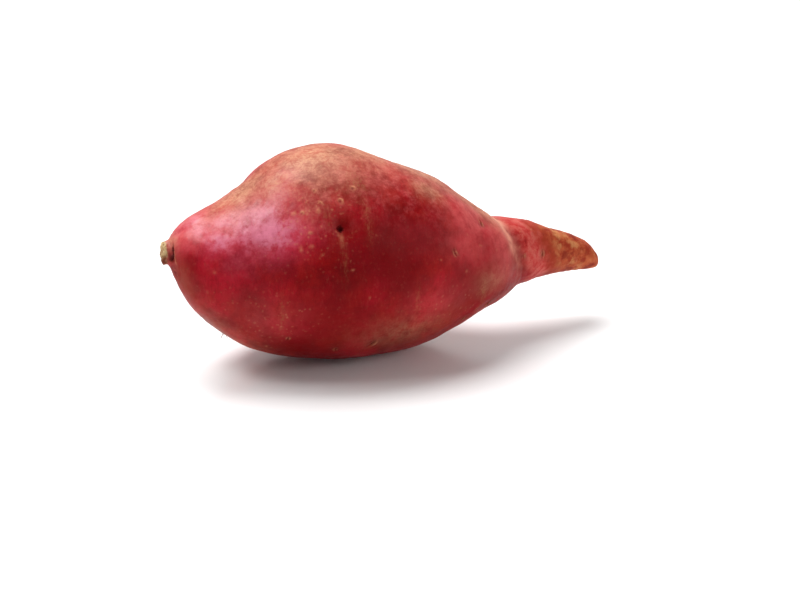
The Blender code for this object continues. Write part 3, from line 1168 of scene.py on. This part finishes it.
def hair_path(places, draw, along, angle, length):
    """A hair's points, from just under the skin to its free end, which lies over to one side."""
    turn = draw.uniform(0.0, math.tau)
    curl = draw.uniform(-HAIR_CURL, HAIR_CURL)
    rise = draw.uniform(*HAIR_RISE)
    radius = (places.above(along, angle, 0.0) - places.above(along, angle + math.pi, 0.0)).length / 2
    path = []
    for step in range(HAIR_STEPS + 1):
        share = step / HAIR_STEPS
        height = rise * math.sin(HAIR_ARCH * share) - HAIR_CLEARANCE * (1 - share)
        path.append(places.above(along, angle, height))
        along += length / HAIR_STEPS * math.cos(turn)
        angle += length / HAIR_STEPS * math.sin(turn) / radius
        turn += curl / HAIR_STEPS + draw.uniform(-HAIR_WANDER, HAIR_WANDER)
    return path


def add_hair(mesh, path, thickness):
    """A thin tube that tapers along its path."""
    rings = []
    for step, place in enumerate(path):
        ahead = path[min(step + 1, len(path) - 1)] - path[max(step - 1, 0)]
        one = ahead.cross(path[-1] - path[0] + Vector(HAIR_ASIDE)).normalized()
        other = ahead.cross(one).normalized()
        radius = thickness * (1.0 - HAIR_TAPER * step / len(path))
        turns = [math.tau * side / HAIR_SIDES for side in range(HAIR_SIDES)]
        ring = [place + (one * math.cos(turn) + other * math.sin(turn)) * radius for turn in turns]
        rings.append([mesh.verts.new(point * MM) for point in ring])
    for ring, following in zip(rings, rings[1:]):
        for side in range(HAIR_SIDES):
            beside = (side + 1) % HAIR_SIDES
            mesh.faces.new((ring[side], ring[beside], following[beside], following[side]))
    mesh.faces.new(rings[0])
    mesh.faces.new(rings[-1])


def hair_material():
    shader = Shader("root_hairs")
    shade = shader.mix(shader.noise(HAIR_TEXTURE), HAIR, HAIR_DARK)
    return shader.finish(base_color=shade, roughness=HAIR_ROUGHNESS, specular_ior_level=HAIR_SPECULAR)


def make_hairs(data, line):
    draw = random.Random(HAIR_SEED)
    places = SkinPlaces(data, line)
    mesh = bmesh.new()
    for along, angle, _ in scars():
        if abs(angle_between(angle, HAIR_SIDE)) > HAIR_SPREAD or along > HAIR_END:
            continue
        for _ in range(draw.randint(*HAIRS_PER_SCAR)):
            path = hair_path(places, draw, along, angle, draw.uniform(*HAIR_LENGTH))
            add_hair(mesh, path, draw.uniform(*HAIR_RADIUS))
    bmesh.ops.recalc_face_normals(mesh, faces=mesh.faces)
    hairs = bpy.data.meshes.new("root_hairs")
    mesh.to_mesh(hairs)
    mesh.free()
    hairs.shade_smooth()
    hairs.materials.append(hair_material())
    piece = bpy.data.objects.new("root_hairs", hairs)
    bpy.context.scene.collection.objects.link(piece)
    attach(piece, BODY)


FLOOR_SIZE = 12.0
FLOOR_DROP = 0.0001
FLOOR_ROUGHNESS = 0.22
FLOOR_SPECULAR = 0.35


def make_floor():
    material = Shader("floor").finish(
        base_color=FLOOR_WHITE, roughness=FLOOR_ROUGHNESS, specular_ior_level=FLOOR_SPECULAR
    )
    mesh = bmesh.new()
    bmesh.ops.create_grid(mesh, x_segments=1, y_segments=1, size=FLOOR_SIZE / 2)
    data = bpy.data.meshes.new("floor")
    mesh.to_mesh(data)
    mesh.free()
    data.materials.append(material)
    floor = bpy.data.objects.new("floor", data)
    floor.location.z = -FLOOR_DROP
    bpy.context.scene.collection.objects.link(floor)


# The photo's camera: its angle round the root and above the table, its lens, how many pixels a metre takes
# at the root, and the pixel where the root's origin shows.
AZIMUTH = math.radians(-18.0)
ELEVATION = math.radians(18.0)
LENS = 85.0
SENSOR = 36.0
IMAGE_SIZE = (800, 600)
PIXELS_PER_METRE = 2420.0
ORIGIN_PIXEL = (393.0, 343.0)


def camera_axes():
    """The camera's right, up and back directions."""
    back = Vector((
        math.sin(AZIMUTH) * math.cos(ELEVATION),
        -math.cos(AZIMUTH) * math.cos(ELEVATION),
        math.sin(ELEVATION),
    ))
    right = (-back).cross(Vector((0, 0, 1))).normalized()
    return right, right.cross(-back), back


def make_camera():
    right, up, back = camera_axes()
    data = bpy.data.cameras.new("camera")
    data.lens = LENS
    data.sensor_width = SENSOR
    camera = bpy.data.objects.new("camera", data)
    aside = (IMAGE_SIZE[0] / 2 - ORIGIN_PIXEL[0]) / PIXELS_PER_METRE
    above = (ORIGIN_PIXEL[1] - IMAGE_SIZE[1] / 2) / PIXELS_PER_METRE
    distance = LENS / SENSOR * IMAGE_SIZE[0] / PIXELS_PER_METRE
    camera.location = right * aside + up * above + back * distance
    aim(camera, -back)
    bpy.context.scene.collection.objects.link(camera)
    bpy.context.scene.camera = camera


def aim(carrier, direction):
    carrier.rotation_mode = "QUATERNION"
    carrier.rotation_quaternion = direction.to_track_quat("-Z", "Y")


# Softboxes: width, height and power, and place to the camera's right, towards the camera and up, in metres
# and watts. The first gives the sheen on the left, the second fills the right, and the last is a white wall
# behind.
SOFTBOXES = {
    "softbox": (0.40, 0.26, 3.0, -0.45, 0.05, 0.62),
    "fill": (0.8, 0.6, 5.4, 1.10, 0.60, 0.50),
    "wall": (6.0, 1.6, 24.0, 0.0, -2.5, 0.8),
}
SUN_STRENGTH = 3.0
SUN_ANGLE = math.radians(40.0)
SUN_FROM = (-0.15, -0.40, 0.85)
ROOM_WHITE = (1.0, 1.0, 1.0, 1.0)
ROOM_STRENGTH = 0.24


def make_lights():
    """A wide soft sun from above and behind, softboxes and a white room."""
    right, _, back = camera_axes()
    level_back = Vector((back.x, back.y, 0)).normalized()

    def put(name, data, place):
        light = bpy.data.objects.new(name, data)
        light.location = right * place[0] + level_back * place[1] + Vector((0, 0, place[2]))
        aim(light, -light.location)
        bpy.context.scene.collection.objects.link(light)

    sun = bpy.data.lights.new("sun", "SUN")
    sun.energy = SUN_STRENGTH
    sun.angle = SUN_ANGLE
    put("sun", sun, SUN_FROM)
    for name, (width, height, power, *place) in SOFTBOXES.items():
        box = bpy.data.lights.new(name, "AREA")
        box.shape = "RECTANGLE"
        box.size = width
        box.size_y = height
        box.energy = power
        put(name, box, place)
    world = bpy.data.worlds.new("room")
    world.use_nodes = True
    world.node_tree.nodes["Background"].inputs["Color"].default_value = ROOM_WHITE
    world.node_tree.nodes["Background"].inputs["Strength"].default_value = ROOM_STRENGTH
    bpy.context.scene.world = world
    bpy.context.scene.view_settings.view_transform = "Standard"


make_hairs(*make_skin())
make_floor()
make_camera()
make_lights()
